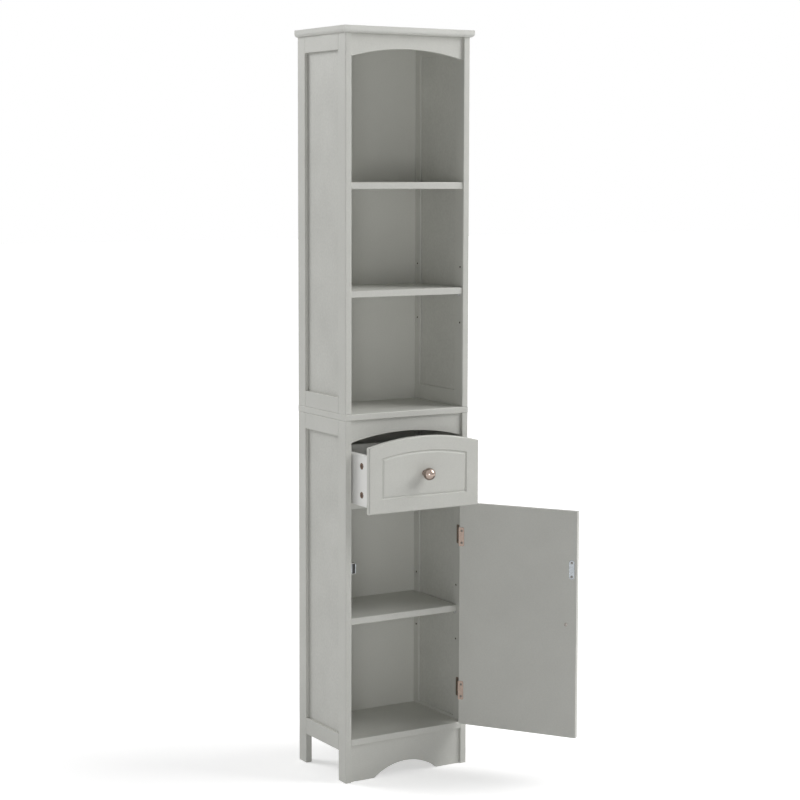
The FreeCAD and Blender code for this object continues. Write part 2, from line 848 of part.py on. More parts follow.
def knob_screw(x, z, face_y, thickness):
    """Return the machine screw that comes through a front from behind into its knob."""
    shoulder = knob_screw_head_height - knob_screw_head_round
    profile = [
        (-thickness - knob_screw_reach, knob_screw_diameter),
        (0.0, knob_screw_diameter),
        (0.0, knob_screw_head_diameter),
        (shoulder, knob_screw_head_diameter),
        (knob_screw_head_height, knob_screw_head_diameter - 2.0 * knob_screw_head_round),
    ]
    return fastener(profile, point(x, face_y + thickness, z), AXIS_Y)


def drawer():
    """Return the drawer's pieces, pulled out to where they stand at rest."""
    cams = []
    bolts = []
    for side, joint_point, cam_face in drawer_joints():
        cams.append(cam_lock(cam_face, AXIS_X * -side, AXIS_Y * -1))
        bolts.append(cam_bolt(joint_point, AXIS_Y))
    knob_z = drawer_front_middle()
    pieces = {
        "drawer_front": drawer_front(),
        "drawer_left_side": drawer_side(-1),
        "drawer_right_side": drawer_side(1),
        "drawer_back": drawer_back(),
        "drawer_bottom": drawer_bottom(),
        "drawer_cam_locks": group(cams),
        "drawer_cam_bolts": group(bolts),
        "drawer_back_screws": group([screw for _, screw in drawer_back_fixings(wood_screw)]),
        "drawer_knob": knob(0.0, knob_z, front_y),
        "drawer_knob_screw": knob_screw(0.0, knob_z, front_y, drawer_front_thickness),
    }
    for shape in pieces.values():
        shape.translate(AXIS_Y * -drawer_open)
    return pieces


# ------------------------------------------------------------------------ hinges
def knuckle_spans(centre_z, of_cabinet):
    """Return the bottom and top of each knuckle that belongs to one leaf."""
    pitch = hinge_height / knuckle_count
    bottom = centre_z - hinge_height / 2.0
    spans = []
    for index in range(knuckle_count):
        if (index % 2 == 0) == of_cabinet:
            z0 = bottom + index * pitch
            spans.append((z0 + knuckle_gap / 2.0, z0 + pitch - knuckle_gap / 2.0))
    return spans


def knuckle_radius():
    """Return the outer radius of a knuckle rolled round the pin."""
    return hinge_pin_diameter / 2.0 + hinge_pin_clearance + leaf_thickness


def hinge_leaf(plates, centre_z, of_cabinet):
    """Return one leaf: its flat plates, rolled into knuckles between those of the other leaf."""
    z_axis_point = point(hinge_axis_x, hinge_axis_y, 0.0)
    leaf = plates[0].fuse(plates[1:]) if len(plates) > 1 else plates[0]
    radius = knuckle_radius()
    for z0, z1 in knuckle_spans(centre_z, not of_cabinet):
        room = rod(2.0 * (radius + knuckle_clearance), z1 - z0 + 2.0 * knuckle_gap,
                   z_axis_point + AXIS_Z * (z0 - knuckle_gap), AXIS_Z)
        leaf = leaf.cut(room)
    for z0, z1 in knuckle_spans(centre_z, of_cabinet):
        leaf = leaf.fuse(rod(2.0 * radius, z1 - z0, z_axis_point + AXIS_Z * z0, AXIS_Z))
    bore = rod(hinge_pin_diameter + 2.0 * hinge_pin_clearance, hinge_height,
               z_axis_point + AXIS_Z * (centre_z - hinge_height / 2.0), AXIS_Z)
    return leaf.cut(bore).removeSplitter()


def cabinet_leaf(centre_z):
    """Return the leaf that lies on the post's inner face."""
    plate = block(inner_x - leaf_thickness, inner_x, hinge_axis_y, front_y + leaf_depth,
                  centre_z - hinge_height / 2.0, centre_z + hinge_height / 2.0)
    leaf = hinge_leaf([plate], centre_z, True)
    leaf = round_edges(leaf, leaf_corner_round, lambda edge: runs_along(edge, AXIS_X)
                       and edge.BoundBox.YMin > front_y + leaf_depth - TOUCHING)
    return cut_all(leaf, cabinet_leaf_screws(screw_hole))


def door_leaf(centre_z):
    """Return the leaf that covers the door's edge and wraps onto its inner face."""
    z0 = centre_z - hinge_height / 2.0
    z1 = centre_z + hinge_height / 2.0
    edge_plate = block(door_right, door_right + leaf_thickness, hinge_axis_y,
                       door_inner_y + leaf_thickness, z0, z1)
    wrap_plate = block(door_right - leaf_wrap, door_right, door_inner_y,
                       door_inner_y + leaf_thickness, z0, z1)
    leaf = hinge_leaf([edge_plate, wrap_plate], centre_z, False)
    leaf = round_edges(leaf, leaf_corner_round, lambda edge: runs_along(edge, AXIS_Y)
                       and edge.BoundBox.XMax < door_right - leaf_wrap + TOUCHING)
    return cut_all(leaf, door_leaf_screws(screw_hole))


def screw_heights():
    """Return the heights of the screws of both hinges."""
    return [centre + step * leaf_screw_spread / 2.0 for centre in hinge_heights for step in (-1, 1)]


def cabinet_leaf_screws(make):
    """Return the four screws, or their holes, of the leaves on the post."""
    head_x = inner_x - leaf_thickness
    head_y = front_y + leaf_screw_from_front
    return [make(point(head_x, head_y, height), AXIS_X) for height in screw_heights()]


def door_leaf_screws(make):
    """Return the four screws, or their holes, of the leaves on the door."""
    head_x = door_right - wrap_screw_from_edge
    head_y = door_inner_y + leaf_thickness
    return [make(point(head_x, head_y, height), AXIS_Y * -1) for height in screw_heights()]


def hinge_pin(centre_z):
    """Return one hinge pin with a tapered tip at each end."""
    start = point(hinge_axis_x, hinge_axis_y, centre_z - hinge_height / 2.0)
    shaft = rod(hinge_pin_diameter, hinge_height, start, AXIS_Z)
    tip_diameter = 2.0 * knuckle_radius() - leaf_thickness
    profile = [(0.0, tip_diameter), (hinge_pin_tip_length, tip_diameter * hinge_pin_tip_taper)]
    tips = [fastener(profile, start, AXIS_Z * -1),
            fastener(profile, start + AXIS_Z * hinge_height, AXIS_Z)]
    return shaft.fuse(tips).removeSplitter()


# --------------------------------------------------- magnetic catch and its plate
def stadium(width, height, thickness, x, y, z):
    """Return an upright plate with round ends, lying from y towards +Y."""
    straight = (height - width) / 2.0
    half = width / 2.0
    edges = [
        Part.LineSegment(point(x + half, y, z - straight), point(x + half, y, z + straight)).toShape(),
        Part.Arc(point(x + half, y, z + straight), point(x, y, z + straight + half),
                 point(x - half, y, z + straight)).toShape(),
        Part.LineSegment(point(x - half, y, z + straight), point(x - half, y, z - straight)).toShape(),
        Part.Arc(point(x - half, y, z - straight), point(x, y, z - straight - half),
                 point(x + half, y, z - straight)).toShape(),
    ]
    return Part.Face(Part.Wire(edges)).extrude(AXIS_Y * thickness)


def strike_screws(make):
    """Return the two screws, or their holes, of the strike plate."""
    head_y = door_inner_y + strike_thickness
    heights = [strike_z - strike_screw_spread / 2.0, strike_z + strike_screw_spread / 2.0]
    return [make(point(strike_x, head_y, height), AXIS_Y * -1) for height in heights]


def strike_plate():
    """Return the steel plate on the door that the magnet pulls."""
    plate = stadium(strike_width, strike_height, strike_thickness, strike_x, door_inner_y, strike_z)
    return cut_all(plate, strike_screws(screw_hole))


def catch_front():
    """Return the depth of the catch's pole faces, just behind the closed door's plate."""
    return door_inner_y + strike_thickness + catch_air_gap


def pole_places():
    """Return the two side positions of the magnet's pole plates."""
    return [strike_x - pole_spacing / 2.0 - pole_thickness, strike_x + pole_spacing / 2.0]


def pole_plates(play=0.0):
    """Return the two steel pole plates, or their pockets where play is the clearance."""
    y0 = catch_front() - play
    return [block(x0 - play, x0 + pole_thickness + play, y0, catch_front() + pole_depth + play,
                  strike_z - pole_height / 2.0 - play, strike_z + pole_height / 2.0 + play)
            for x0 in pole_places()]


def catch_magnet(play=0.0):
    """Return the magnet between the pole plates, or its pocket."""
    x0 = strike_x - pole_spacing / 2.0
    x1 = strike_x + pole_spacing / 2.0
    y0 = catch_front() + pole_proud
    return block(x0, x1, y0 - play, catch_front() + pole_depth + play,
                 strike_z - pole_height / 2.0 - play, strike_z + pole_height / 2.0 + play)


def catch_screws(make):
    """Return the two screws, or their holes, of the catch, driven into the left post."""
    head_x = -inner_x + catch_ear_thickness
    head_y = catch_front() + catch_depth / 2.0
    reach = (catch_block_height + catch_ear_height) / 2.0
    return [make(point(head_x, head_y, strike_z + step * reach), AXIS_X * -1) for step in (-1, 1)]


def catch_body():
    """Return the catch's plastic housing: a block with an ear above and below it."""
    y0 = catch_front() + pole_proud
    y1 = y0 + catch_depth
    half_block = catch_block_height / 2.0
    half_all = half_block + catch_ear_height
    ears = block(-inner_x, -inner_x + catch_ear_thickness, y0, y1, strike_z - half_all, strike_z + half_all)
    ears = round_edges(ears, catch_ear_thickness, lambda edge: runs_along(edge, AXIS_X))
    housing = block(-inner_x, -inner_x + catch_width, y0, y1, strike_z - half_block, strike_z + half_block)
    housing = round_edges(housing, board_edge_round, lambda edge: runs_along(edge, AXIS_Y)
                          and edge.BoundBox.XMin > -inner_x + catch_width - TOUCHING)
    cutters = pole_plates(magnet_clearance) + [catch_magnet(magnet_clearance)]
    return cut_all(ears.fuse(housing).removeSplitter(), cutters + catch_screws(screw_hole))


# ------------------------------------------------------------------------- door
def door_panel():
    """Return the inset door, with the routed panel line on its outer face."""
    panel = block(door_left, door_right, front_y, door_inner_y, door_bottom, door_top)
    panel = round_edges(panel, front_edge_round, lambda edge: at_y(edge, front_y))
    panel = round_edges(panel, board_edge_round, lambda edge: at_y(edge, door_inner_y))
    half = (door_right - door_left) / 2.0 - panel_line_margin
    middle_x = (door_left + door_right) / 2.0
    line = routed_line(half, door_bottom + panel_line_margin, door_top - panel_line_margin, None, front_y)
    line.translate(AXIS_X * middle_x)
    cutters = [line, knob_screw_hole(door_knob_x, door_knob_z, front_y, door_thickness)]
    cutters += door_leaf_screws(screw_hole) + strike_screws(screw_hole)
    return cut_all(panel, cutters)


def door():
    """Return the door's pieces, swung open to where they stand at rest."""
    pieces = {
        "door_panel": door_panel(),
        "door_hinge_leaves": group([door_leaf(height) for height in hinge_heights]),
        "door_screws": group(door_leaf_screws(wood_screw) + strike_screws(wood_screw)),
        "strike_plate": strike_plate(),
        "door_knob": knob(door_knob_x, door_knob_z, front_y),
        "door_knob_screw": knob_screw(door_knob_x, door_knob_z, front_y, door_thickness),
    }
    axis_point = point(hinge_axis_x, hinge_axis_y, 0.0)
    for shape in pieces.values():
        shape.rotate(axis_point, AXIS_Z, door_open_angle)
    return pieces


def cabinet_hardware():
    """Return the hinge leaves, pins, catch and screws that stay on the carcass."""
    return {
        "cabinet_hinge_leaves": group([cabinet_leaf(height) for height in hinge_heights]),
        "hinge_pins": group([hinge_pin(height) for height in hinge_heights]),
        "cabinet_screws": group(cabinet_leaf_screws(wood_screw) + catch_screws(wood_screw)),
        "magnet_catch_body": catch_body(),
        "magnet_catch_magnet": catch_magnet(),
        "magnet_catch_poles": group(pole_plates()),
    }


def main():
    """Build every piece and write one file for each."""
    os.makedirs("parts", exist_ok=True)
    pieces = {}
    for make in (side_frames, carcass, carcass_fasteners, cabinet_hardware, drawer, door):
        pieces.update(make())
    to_origin = point(side_x - frame_thickness / 2.0, -front_y - stile_width / 2.0, 0.0)
    for name, shape in pieces.items():
        shape.translate(to_origin)
        shape.exportStep(f"parts/{name}.step")
    print(len(pieces), "pieces")


main()
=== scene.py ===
"""Finishes, fittings and studio of a tall bathroom cabinet.

Most boards come from the frame and get their paint and slightly eased edges here. The
crown board, the middle board, the drawer front and the door are modelled anew, with their
rounded edges and routed panel lines. So are the knobs, screws, cam locks, shelf pins,
hinge pins and strike plate, each in the place of its plain solid. The unused pin holes get
bare walls, made near black as painted shade. Lengths are metres; the pieces' own sizes are
written in millimetres and scaled by MM.
"""

import json
import logging
import math
from dataclasses import dataclass, field
from enum import Enum
from typing import Sequence

import bmesh
import bpy
from mathutils import Matrix, Vector


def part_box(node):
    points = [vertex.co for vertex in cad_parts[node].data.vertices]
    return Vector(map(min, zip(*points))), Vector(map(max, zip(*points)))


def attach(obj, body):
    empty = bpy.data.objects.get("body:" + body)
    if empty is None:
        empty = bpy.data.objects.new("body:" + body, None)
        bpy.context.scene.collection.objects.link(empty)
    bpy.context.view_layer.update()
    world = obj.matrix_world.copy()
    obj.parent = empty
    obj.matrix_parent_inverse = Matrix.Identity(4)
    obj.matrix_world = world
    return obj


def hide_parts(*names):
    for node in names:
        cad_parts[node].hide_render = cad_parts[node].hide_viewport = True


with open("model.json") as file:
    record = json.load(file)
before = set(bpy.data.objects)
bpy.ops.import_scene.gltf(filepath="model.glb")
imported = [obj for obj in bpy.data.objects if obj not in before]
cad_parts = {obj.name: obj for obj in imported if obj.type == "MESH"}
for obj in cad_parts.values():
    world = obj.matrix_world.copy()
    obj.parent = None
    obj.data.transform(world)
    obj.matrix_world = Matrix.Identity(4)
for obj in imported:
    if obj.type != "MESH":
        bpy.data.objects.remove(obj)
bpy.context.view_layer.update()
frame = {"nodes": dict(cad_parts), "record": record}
MM = 0.001
MERGE_DISTANCE = 0.001
SHARP_ANGLE = 40.0
NOISE_LOW, NOISE_HIGH = 0.3, 0.7

Colour = tuple[float, float, float]
Point = tuple[float, float]
Place = tuple[Vector, Vector]

logging.basicConfig(level=logging.INFO, format="%(message)s")
LOG = logging.getLogger("cabinet")


# ------------------------------------------------------------------ node graphs
class Graph:
    """A material's node tree, with short calls for the nodes that the finishes share."""

    def __init__(self, name: str) -> None:
        """Start an empty material with its output and shader.

        Args:
            name: The material's name.
        """
        self.material = bpy.data.materials.new(name)
        self.material.use_nodes = True
        self.tree = self.material.node_tree
        self.tree.nodes.clear()
        self.output = self.tree.nodes.new("ShaderNodeOutputMaterial")
        self.shader = self.tree.nodes.new("ShaderNodeBsdfPrincipled")
        self.link(self.shader.outputs["BSDF"], self.output.inputs["Surface"])
        self.place = self.tree.nodes.new("ShaderNodeTexCoord").outputs["Object"]

    def link(self, source: bpy.types.NodeSocket, target: bpy.types.NodeSocket) -> None:
        """Join one socket to another."""
        self.tree.links.new(source, target)

    def noise(self, scale: float, detail: float = 2.0,
              stretch: Sequence[float] = (1, 1, 1)) -> bpy.types.NodeSocket:
        """Add noise on the object's own coordinates.

        Args:
            scale: Cells per metre.
            detail: Octaves of finer noise.
            stretch: How much denser the noise is along each axis.

        Returns:
            The noise value.
        """
        mapping = self.tree.nodes.new("ShaderNodeMapping")
        mapping.inputs["Scale"].default_value = stretch
        self.link(self.place, mapping.inputs["Vector"])
        node = self.tree.nodes.new("ShaderNodeTexNoise")
        node.inputs["Scale"].default_value = scale
        node.inputs["Detail"].default_value = detail
        self.link(mapping.outputs["Vector"], node.inputs["Vector"])
        return node.outputs["Fac"]

    def spread(self, value: bpy.types.NodeSocket, low: float, high: float) -> bpy.types.NodeSocket:
        """Map a noise value's middle range to another range.

        Args:
            value: The noise value.
            low: What the lower end becomes.
            high: What the upper end becomes.

        Returns:
            The mapped value.
        """
        node = self.tree.nodes.new("ShaderNodeMapRange")
        node.inputs["From Min"].default_value = NOISE_LOW
        node.inputs["From Max"].default_value = NOISE_HIGH
        node.inputs["To Min"].default_value = low
        node.inputs["To Max"].default_value = high
        self.link(value, node.inputs["Value"])
        return node.outputs["Result"]

    def tint(self, amount: bpy.types.NodeSocket, first: Colour, second: Colour) -> bpy.types.NodeSocket:
        """Blend between two colours.

        Args:
            amount: 0 for the first colour, 1 for the second.
            first: The first colour.
            second: The second colour.

        Returns:
            The blended colour.
        """
        node = self.tree.nodes.new("ShaderNodeMix")
        node.data_type = "RGBA"
        node.inputs["A"].default_value = (*first, 1.0)
        node.inputs["B"].default_value = (*second, 1.0)
        self.link(amount, node.inputs["Factor"])
        return node.outputs["Result"]

    def bump(self, height: bpy.types.NodeSocket, depth: float) -> None:
        """Raise the surface by a pattern.

        Args:
            height: The pattern, from 0 to 1.
            depth: The greatest height in metres.
        """
        node = self.tree.nodes.new("ShaderNodeBump")
        node.inputs["Strength"].default_value = 1.0
        node.inputs["Distance"].default_value = depth
        self.link(height, node.inputs["Height"])
        self.link(node.outputs["Normal"], self.shader.inputs["Normal"])

    def set(self, **values: float) -> None:
        """Set plain values on the shader; underscores stand for spaces."""
        for name, value in values.items():
            self.shader.inputs[name.replace("_", " ")].default_value = value


# --------------------------------------------------------------------- finishes
@dataclass(frozen=True)
class Paint:
    """Sprayed satin paint with a fine orange-peel over fibreboard."""

    name: str
    colour: Colour
    shade: float = 0.93
    roughness: float = 0.42
    peel_per_metre: float = 900.0
    peel_depth: float = 0.00012
    speck_share: float = 0.35
    clouds_per_metre: float = 9.0
    roughness_swing: float = 0.1
    ior: float = 1.47

    def material(self) -> bpy.types.Material:
        """Mix the paint.

        Returns:
            The material.
        """
        graph = Graph(self.name)
        darker = tuple(channel * self.shade for channel in self.colour)
        cloud = graph.noise(self.clouds_per_metre, 3.0)
        speck = graph.noise(self.peel_per_metre * self.speck_share, 2.0)
        mixed = graph.tree.nodes.new("ShaderNodeMath")
        mixed.operation = "ADD"
        graph.link(graph.spread(cloud, 0.0, 0.5), mixed.inputs[0])
        graph.link(graph.spread(speck, 0.0, 0.5), mixed.inputs[1])
        graph.link(graph.tint(mixed.outputs[0], self.colour, darker), graph.shader.inputs["Base Color"])
        rough = graph.spread(cloud, self.roughness, self.roughness + self.roughness_swing)
        graph.link(rough, graph.shader.inputs["Roughness"])
        graph.bump(graph.noise(self.peel_per_metre, 2.0), self.peel_depth)
        graph.set(IOR=self.ior)
        return graph.material


@dataclass(frozen=True)
class Metal:
    """Plated or cast metal."""

    name: str
    colour: Colour
    roughness: float
    grain: Sequence[float] = (1, 1, 1)
    shade: float = 0.88
    clouds_per_metre: float = 260.0
    smoother: float = 0.8
    rougher: float = 1.25
    brushing_per_metre: float = 2400.0
    brushing_depth: float = 0.00001

    def material(self) -> bpy.types.Material:
        """Cast the metal.

        Returns:
            The material.
        """
        graph = Graph(self.name)
        cloud = graph.noise(self.clouds_per_metre, 3.0, self.grain)
        darker = tuple(channel * self.shade for channel in self.colour)
        tinted = graph.tint(graph.spread(cloud, 0.0, 1.0), self.colour, darker)
        graph.link(tinted, graph.shader.inputs["Base Color"])
        rough = graph.spread(cloud, self.roughness * self.smoother, self.roughness * self.rougher)
        graph.link(rough, graph.shader.inputs["Roughness"])
        graph.bump(graph.noise(self.brushing_per_metre, 1.0, self.grain), self.brushing_depth)
        graph.set(Metallic=1.0)
        return graph.material


@dataclass(frozen=True)
class Moulded:
    """Moulded plastic, bonded ferrite or plain wood: a dull material with a fine grain."""

    name: str
    colour: Colour
    roughness: float
    grain: Sequence[float] = (1, 1, 1)
    shade: float = 0.85
    flecks_per_metre: float = 700.0
    fleck_depth: float = 0.00003

    def material(self) -> bpy.types.Material:
        """Mould the finish.

        Returns:
            The material.
        """
        graph = Graph(self.name)
        fleck = graph.noise(self.flecks_per_metre, 3.0, self.grain)
        darker = tuple(channel * self.shade for channel in self.colour)
        tinted = graph.tint(graph.spread(fleck, 0.0, 1.0), self.colour, darker)
        graph.link(tinted, graph.shader.inputs["Base Color"])
        graph.bump(fleck, self.fleck_depth)
        graph.set(Roughness=self.roughness)
        return graph.material


class Finish(Enum):
    """The cabinet's finishes: one for each material slot of the record, and four that share a slot."""

    PAINTED_BOARD = Paint("painted_board", (0.605, 0.607, 0.568), shade=0.91)
    SIDE_PANEL = Paint("side_panel", (0.615, 0.617, 0.578), shade=0.85, roughness=0.46, peel_per_metre=520.0,
                       peel_depth=0.00022)
    # The crown is the boards' grey paint made lighter: painted light, for the light that its top and rounded
    # edges catch.
    CROWN = Paint("crown_board", (0.69, 0.692, 0.655), roughness=0.58)
    BACK_PANEL = Paint("back_panel", (0.66, 0.662, 0.62), roughness=0.5)
    DRAWER_BOARD = Paint("drawer_board", (0.84, 0.84, 0.815), shade=0.97, roughness=0.36, peel_depth=0.00004)
    DRAWER_BOTTOM = Paint("drawer_bottom", (0.62, 0.62, 0.60), roughness=0.5)
    KNOB_METAL = Metal("knob_metal", (0.36, 0.29, 0.25), 0.07)
    HINGE_METAL = Metal("hinge_metal", (0.32, 0.25, 0.21), 0.3, grain=(1, 1, 6))
    SCREW_METAL = Metal("screw_metal", (0.17, 0.155, 0.14), 0.3)
    BRIGHT_SCREW = Metal("bright_screw", (0.33, 0.31, 0.285), 0.3)
    PIN_METAL = Metal("pin_metal", (0.66, 0.66, 0.67), 0.28)
    CAM_METAL = Metal("cam_metal", (0.16, 0.11, 0.085), 0.42)
    CATCH_STEEL = Metal("catch_steel", (0.36, 0.385, 0.405), 0.26)
    MAGNET = Moulded("magnet", (0.035, 0.035, 0.035), 0.6)
    CATCH_PLASTIC = Moulded("catch_plastic", (0.40, 0.40, 0.37), 0.45)
    # Bare board's brown made near black: painted shade inside the pin holes.
    RAW_BOARD = Moulded("raw_board", (0.07, 0.052, 0.038), 0.9)
    DOWEL_WOOD = Moulded("dowel_wood", (0.62, 0.45, 0.29), 0.7, grain=(6, 6, 0.4), shade=0.7)

    @property
    def slot(self) -> str:
        """Name the record's material slot that this finish belongs to.

        Returns:
            The slot's name.
        """
        shared = {"crown_board": "painted_board", "side_panel": "painted_board",
                  "raw_board": "painted_board", "bright_screw": "screw_metal"}
        return shared.get(self.value.name, self.value.name)


class Palette:
    """Makes each finish once and hands it out."""

    def __init__(self) -> None:
        """Build every material."""
        self.made = {finish: finish.value.material() for finish in Finish}
        own = [finish for finish in Finish if finish.slot == finish.value.name]
        self.by_slot = {finish.slot: self.made[finish] for finish in own}

    def dress(self, obj: bpy.types.Object, material: bpy.types.Material) -> None:
        """Give an object one material."""
        obj.data.materials.clear()
        obj.data.materials.append(material)


# -------------------------------------------------------------------- mesh tools
def close_ends(bm: bmesh.types.BMesh) -> None:
    """Fill every open ring and point all faces outward."""
    bmesh.ops.holes_fill(bm, edges=[edge for edge in bm.edges if edge.is_boundary], sides=0)
    bmesh.ops.recalc_face_normals(bm, faces=bm.faces)


def lathe(outline: Sequence[Point], steps: int = 48) -> bmesh.types.BMesh:
    """Turn an outline round the Z axis.

    Args:
        outline: Pairs of radius and height, from one end to the other.
        steps: Number of steps in the full turn.

    Returns:
        The turned body, closed at both ends.
    """
    bm = bmesh.new()
    verts = [bm.verts.new((radius, 0.0, height)) for radius, height in outline]
    edges = [bm.edges.new(pair) for pair in zip(verts, verts[1:])]
    bmesh.ops.spin(bm, geom=verts + edges, cent=(0, 0, 0), axis=(0, 0, 1), angle=2.0 * math.pi,
                   steps=steps, use_merge=True)
    bmesh.ops.remove_doubles(bm, verts=bm.verts, dist=MERGE_DISTANCE)
    close_ends(bm)
    return bm


def arc(centre: Point, radius: float, start: float, end: float, steps: int = 8) -> list[Point]:
    """Return the points of an arc, both ends included, from one angle in degrees to another."""
    turns = [math.radians(start + (end - start) * step / steps) for step in range(steps + 1)]
    return [(centre[0] + radius * math.cos(turn), centre[1] + radius * math.sin(turn)) for turn in turns]


@dataclass(frozen=True)
class CrossHead:
    """A round head with a cross recess, and the turned body below it."""

    radius: float
    arm: float
    half_width: float
    depth: float
    dome: float
    below: Sequence[Point]
    corner_share: float = 0.52
    wall_share: float = 0.3

    def build(self) -> bmesh.types.BMesh:
        """Press the recess into a grid and draw the body down from its rim.

        Returns:
            The head with its face up near Z = 0, and its body below.
        """
        bm = bmesh.new()
        bmesh.ops.create_grid(bm, x_segments=5, y_segments=5, size=1.0)
        cross = [face for face in bm.faces if self.in_cross(face.calc_center_median())]
        for vert in bm.verts:
            vert.co = self.shaped(vert.co.x, vert.co.y)
        bmesh.ops.inset_region(bm, faces=cross, thickness=self.half_width * self.wall_share,
                               depth=-self.depth, use_even_offset=True)
        ring = [edge for edge in bm.edges if edge.is_boundary]
        for radius, height in self.below:
            made = bmesh.ops.extrude_edge_only(bm, edges=ring)["geom"]
            for vert in (item for item in made if isinstance(item, bmesh.types.BMVert)):
                flat = vert.co.xy.normalized() * radius
                vert.co = (flat.x, flat.y, height)
            ring = [item for item in made if isinstance(item, bmesh.types.BMEdge)]
        close_ends(bm)
        return bm

    @staticmethod
    def in_cross(middle: Vector) -> bool:
        """Say whether a cell of the grid belongs to the cross."""
        near, far = sorted((abs(middle.x), abs(middle.y)))
        return near < 0.1 and far < 0.6

    def shaped(self, x: float, y: float) -> Vector:
        """Move a point of the grid: the rim onto a circle, the rest round the cross.

        Args:
            x: The point's place along X, from -1 to 1.
            y: The point's place along Y, from -1 to 1.

        Returns:
            The new place.
        """
        if max(abs(x), abs(y)) > 0.9:
            turn = math.pi / 4.0 * (y if abs(x) >= abs(y) else x)
            along, across = self.radius * math.cos(turn), self.radius * math.sin(turn)
            if abs(x) >= abs(y):
                flat = (math.copysign(along, x), across)
            else:
                flat = (across, math.copysign(along, y))
        elif min(abs(x), abs(y)) > 0.5:
            corner = self.radius * self.corner_share
            flat = (math.copysign(corner, x), math.copysign(corner, y))
        else:
            flat = tuple(math.copysign(self.arm if abs(part) > 0.5 else self.half_width, part)
                         for part in (x, y))
        span = (flat[0] ** 2 + flat[1] ** 2) / self.radius ** 2
        return Vector((flat[0], flat[1], self.dome * (1.0 - span)))


# --------------------------------------------------------------------- carriers
DRAWER_OPEN = 74.0
DOOR_OPEN = 124.0
HINGE_AXIS = (300.0, -20.0)
HINGE_HEIGHTS = (181.5, 543.5)
HINGE_HALF = 22.0
CATCH_HEIGHT = 489.5
FRONT_LEFT, FRONT_RIGHT = 10.5, 298.5
FRONT_FACE = -17.0
FRONT_JOINT = 626.0
DOOR_BACK = -2.0
LEFT, RIGHT = Vector((-1, 0, 0)), Vector((1, 0, 0))
FRONT, BACK = Vector((0, -1, 0)), Vector((0, 1, 0))
DOWN, UP = Vector((0, 0, -1)), Vector((0, 0, 1))


class Carrier(Enum):
    """The bodies, each with the move that takes its pieces from closed to where they rest."""

    CABINET = "cabinet"
    DRAWER = "drawer"
    DOOR = "door"

    @property
    def move(self) -> Matrix:
        """Give the body's move.

        Returns:
            The move, in millimetres.
        """
        if self is Carrier.DRAWER:
            return Matrix.Translation((0.0, -DRAWER_OPEN, 0.0))
        if self is Carrier.DOOR:
            hinge = Matrix.Translation((*HINGE_AXIS, 0.0))
            return hinge @ Matrix.Rotation(math.radians(DOOR_OPEN), 4, "Z") @ hinge.inverted()
        return Matrix.Identity(4)


# --------------------------------------------------------------------- fittings
@dataclass
class Fitting:
    """A kind of fitting: one shape, made in millimetres, set in each of its places.

    A place is a point and the direction that the shape's own Z axis takes there, both as
    they are with the drawer and the door closed.
    """

    node: str
    carrier: Carrier
    finish: Finish
    places: Sequence[Place]

    def shape(self) -> bmesh.types.BMesh:
        """Return the shape round its own Z axis."""
        raise NotImplementedError

    def placed(self, place: Place) -> Matrix:
        """Give the move from the shape's own frame to one of its places.

        Args:
            place: The place, with the drawer and the door closed.

        Returns:
            The move, which ends in metres and at rest.
        """
        point, axis = place
        sideways = UP if abs(axis.z) < 0.5 else RIGHT
        turn = Matrix((sideways, axis.cross(sideways), axis)).transposed().to_4x4()
        return Matrix.Scale(MM, 4) @ self.carrier.move @ Matrix.Translation(point) @ turn

    def build(self, palette: Palette) -> bpy.types.Object:
        """Make the fitting in all its places as one piece that replaces its node.

        Args:
            palette: The finishes.

        Returns:
            The new piece.
        """
        piece = self.made(palette, f"{self.node}_detail")
        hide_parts(self.node)
        return piece

    def made(self, palette: Palette, name: str) -> bpy.types.Object:
        """Make the fitting in all its places as one piece.

        Args:
            palette: The finishes.
            name: The piece's name.

        Returns:
            The new piece.
        """
        mesh = bpy.data.meshes.new(name)
        whole = bmesh.new()
        for place in self.places:
            one = self.shape()
            one.transform(self.placed(place))
            part = bpy.data.meshes.new("part")
            one.to_mesh(part)
            one.free()
            whole.from_mesh(part)
            bpy.data.meshes.remove(part)
        whole.to_mesh(mesh)
        whole.free()
        piece = add_piece(mesh)
        palette.dress(piece, palette.made[self.finish])
        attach(piece, self.carrier.value)
        return piece


@dataclass
class Knob(Fitting):
    """A polished ball knob on a waisted neck and a thin base."""

    def shape(self) -> bmesh.types.BMesh:
        """Turn the knob.

        Returns:
            The knob, standing up from its foot.
        """
        outline = [(2.05, 9.0), (2.05, 0.0), (7.1, 0.0)]
        outline += arc((7.1, 0.4), 0.4, -90.0, 0.0, 4) + arc((7.0, 1.5), 0.5, 0.0, 90.0, 4)
        outline += [(6.0, 2.15), (5.25, 2.7), (4.75, 3.5), (4.5, 4.4), (4.6, 5.1)]
        outline += arc((0.0, 19.0), 14.0, -69.5, 90.0, 40)
        return lathe(outline, 64)


@dataclass
class KnobScrew(Fitting):
    """The machine screw of a knob: a pan head with a cross recess on the front's inner side."""

    reach: float = 20.0
    head_height: float = 1.9

    def shape(self) -> bmesh.types.BMesh:
        """Press and turn the screw.

        Returns:
            The screw with its head up and its seat at Z = 0.
        """
        below = [(4.05, 1.55), (4.25, 1.1), (4.25, 0.0), (2.0, 0.0),
                 (2.0, -self.reach + 0.6), (1.5, -self.reach)]
        body = [(3.75, -0.35), *((radius, height - self.head_height) for radius, height in below)]
        bm = CrossHead(radius=3.3, arm=1.7, half_width=0.42, depth=1.3, dome=0.35, below=body).build()
        bmesh.ops.translate(bm, verts=bm.verts, vec=(0.0, 0.0, self.head_height))
        return bm


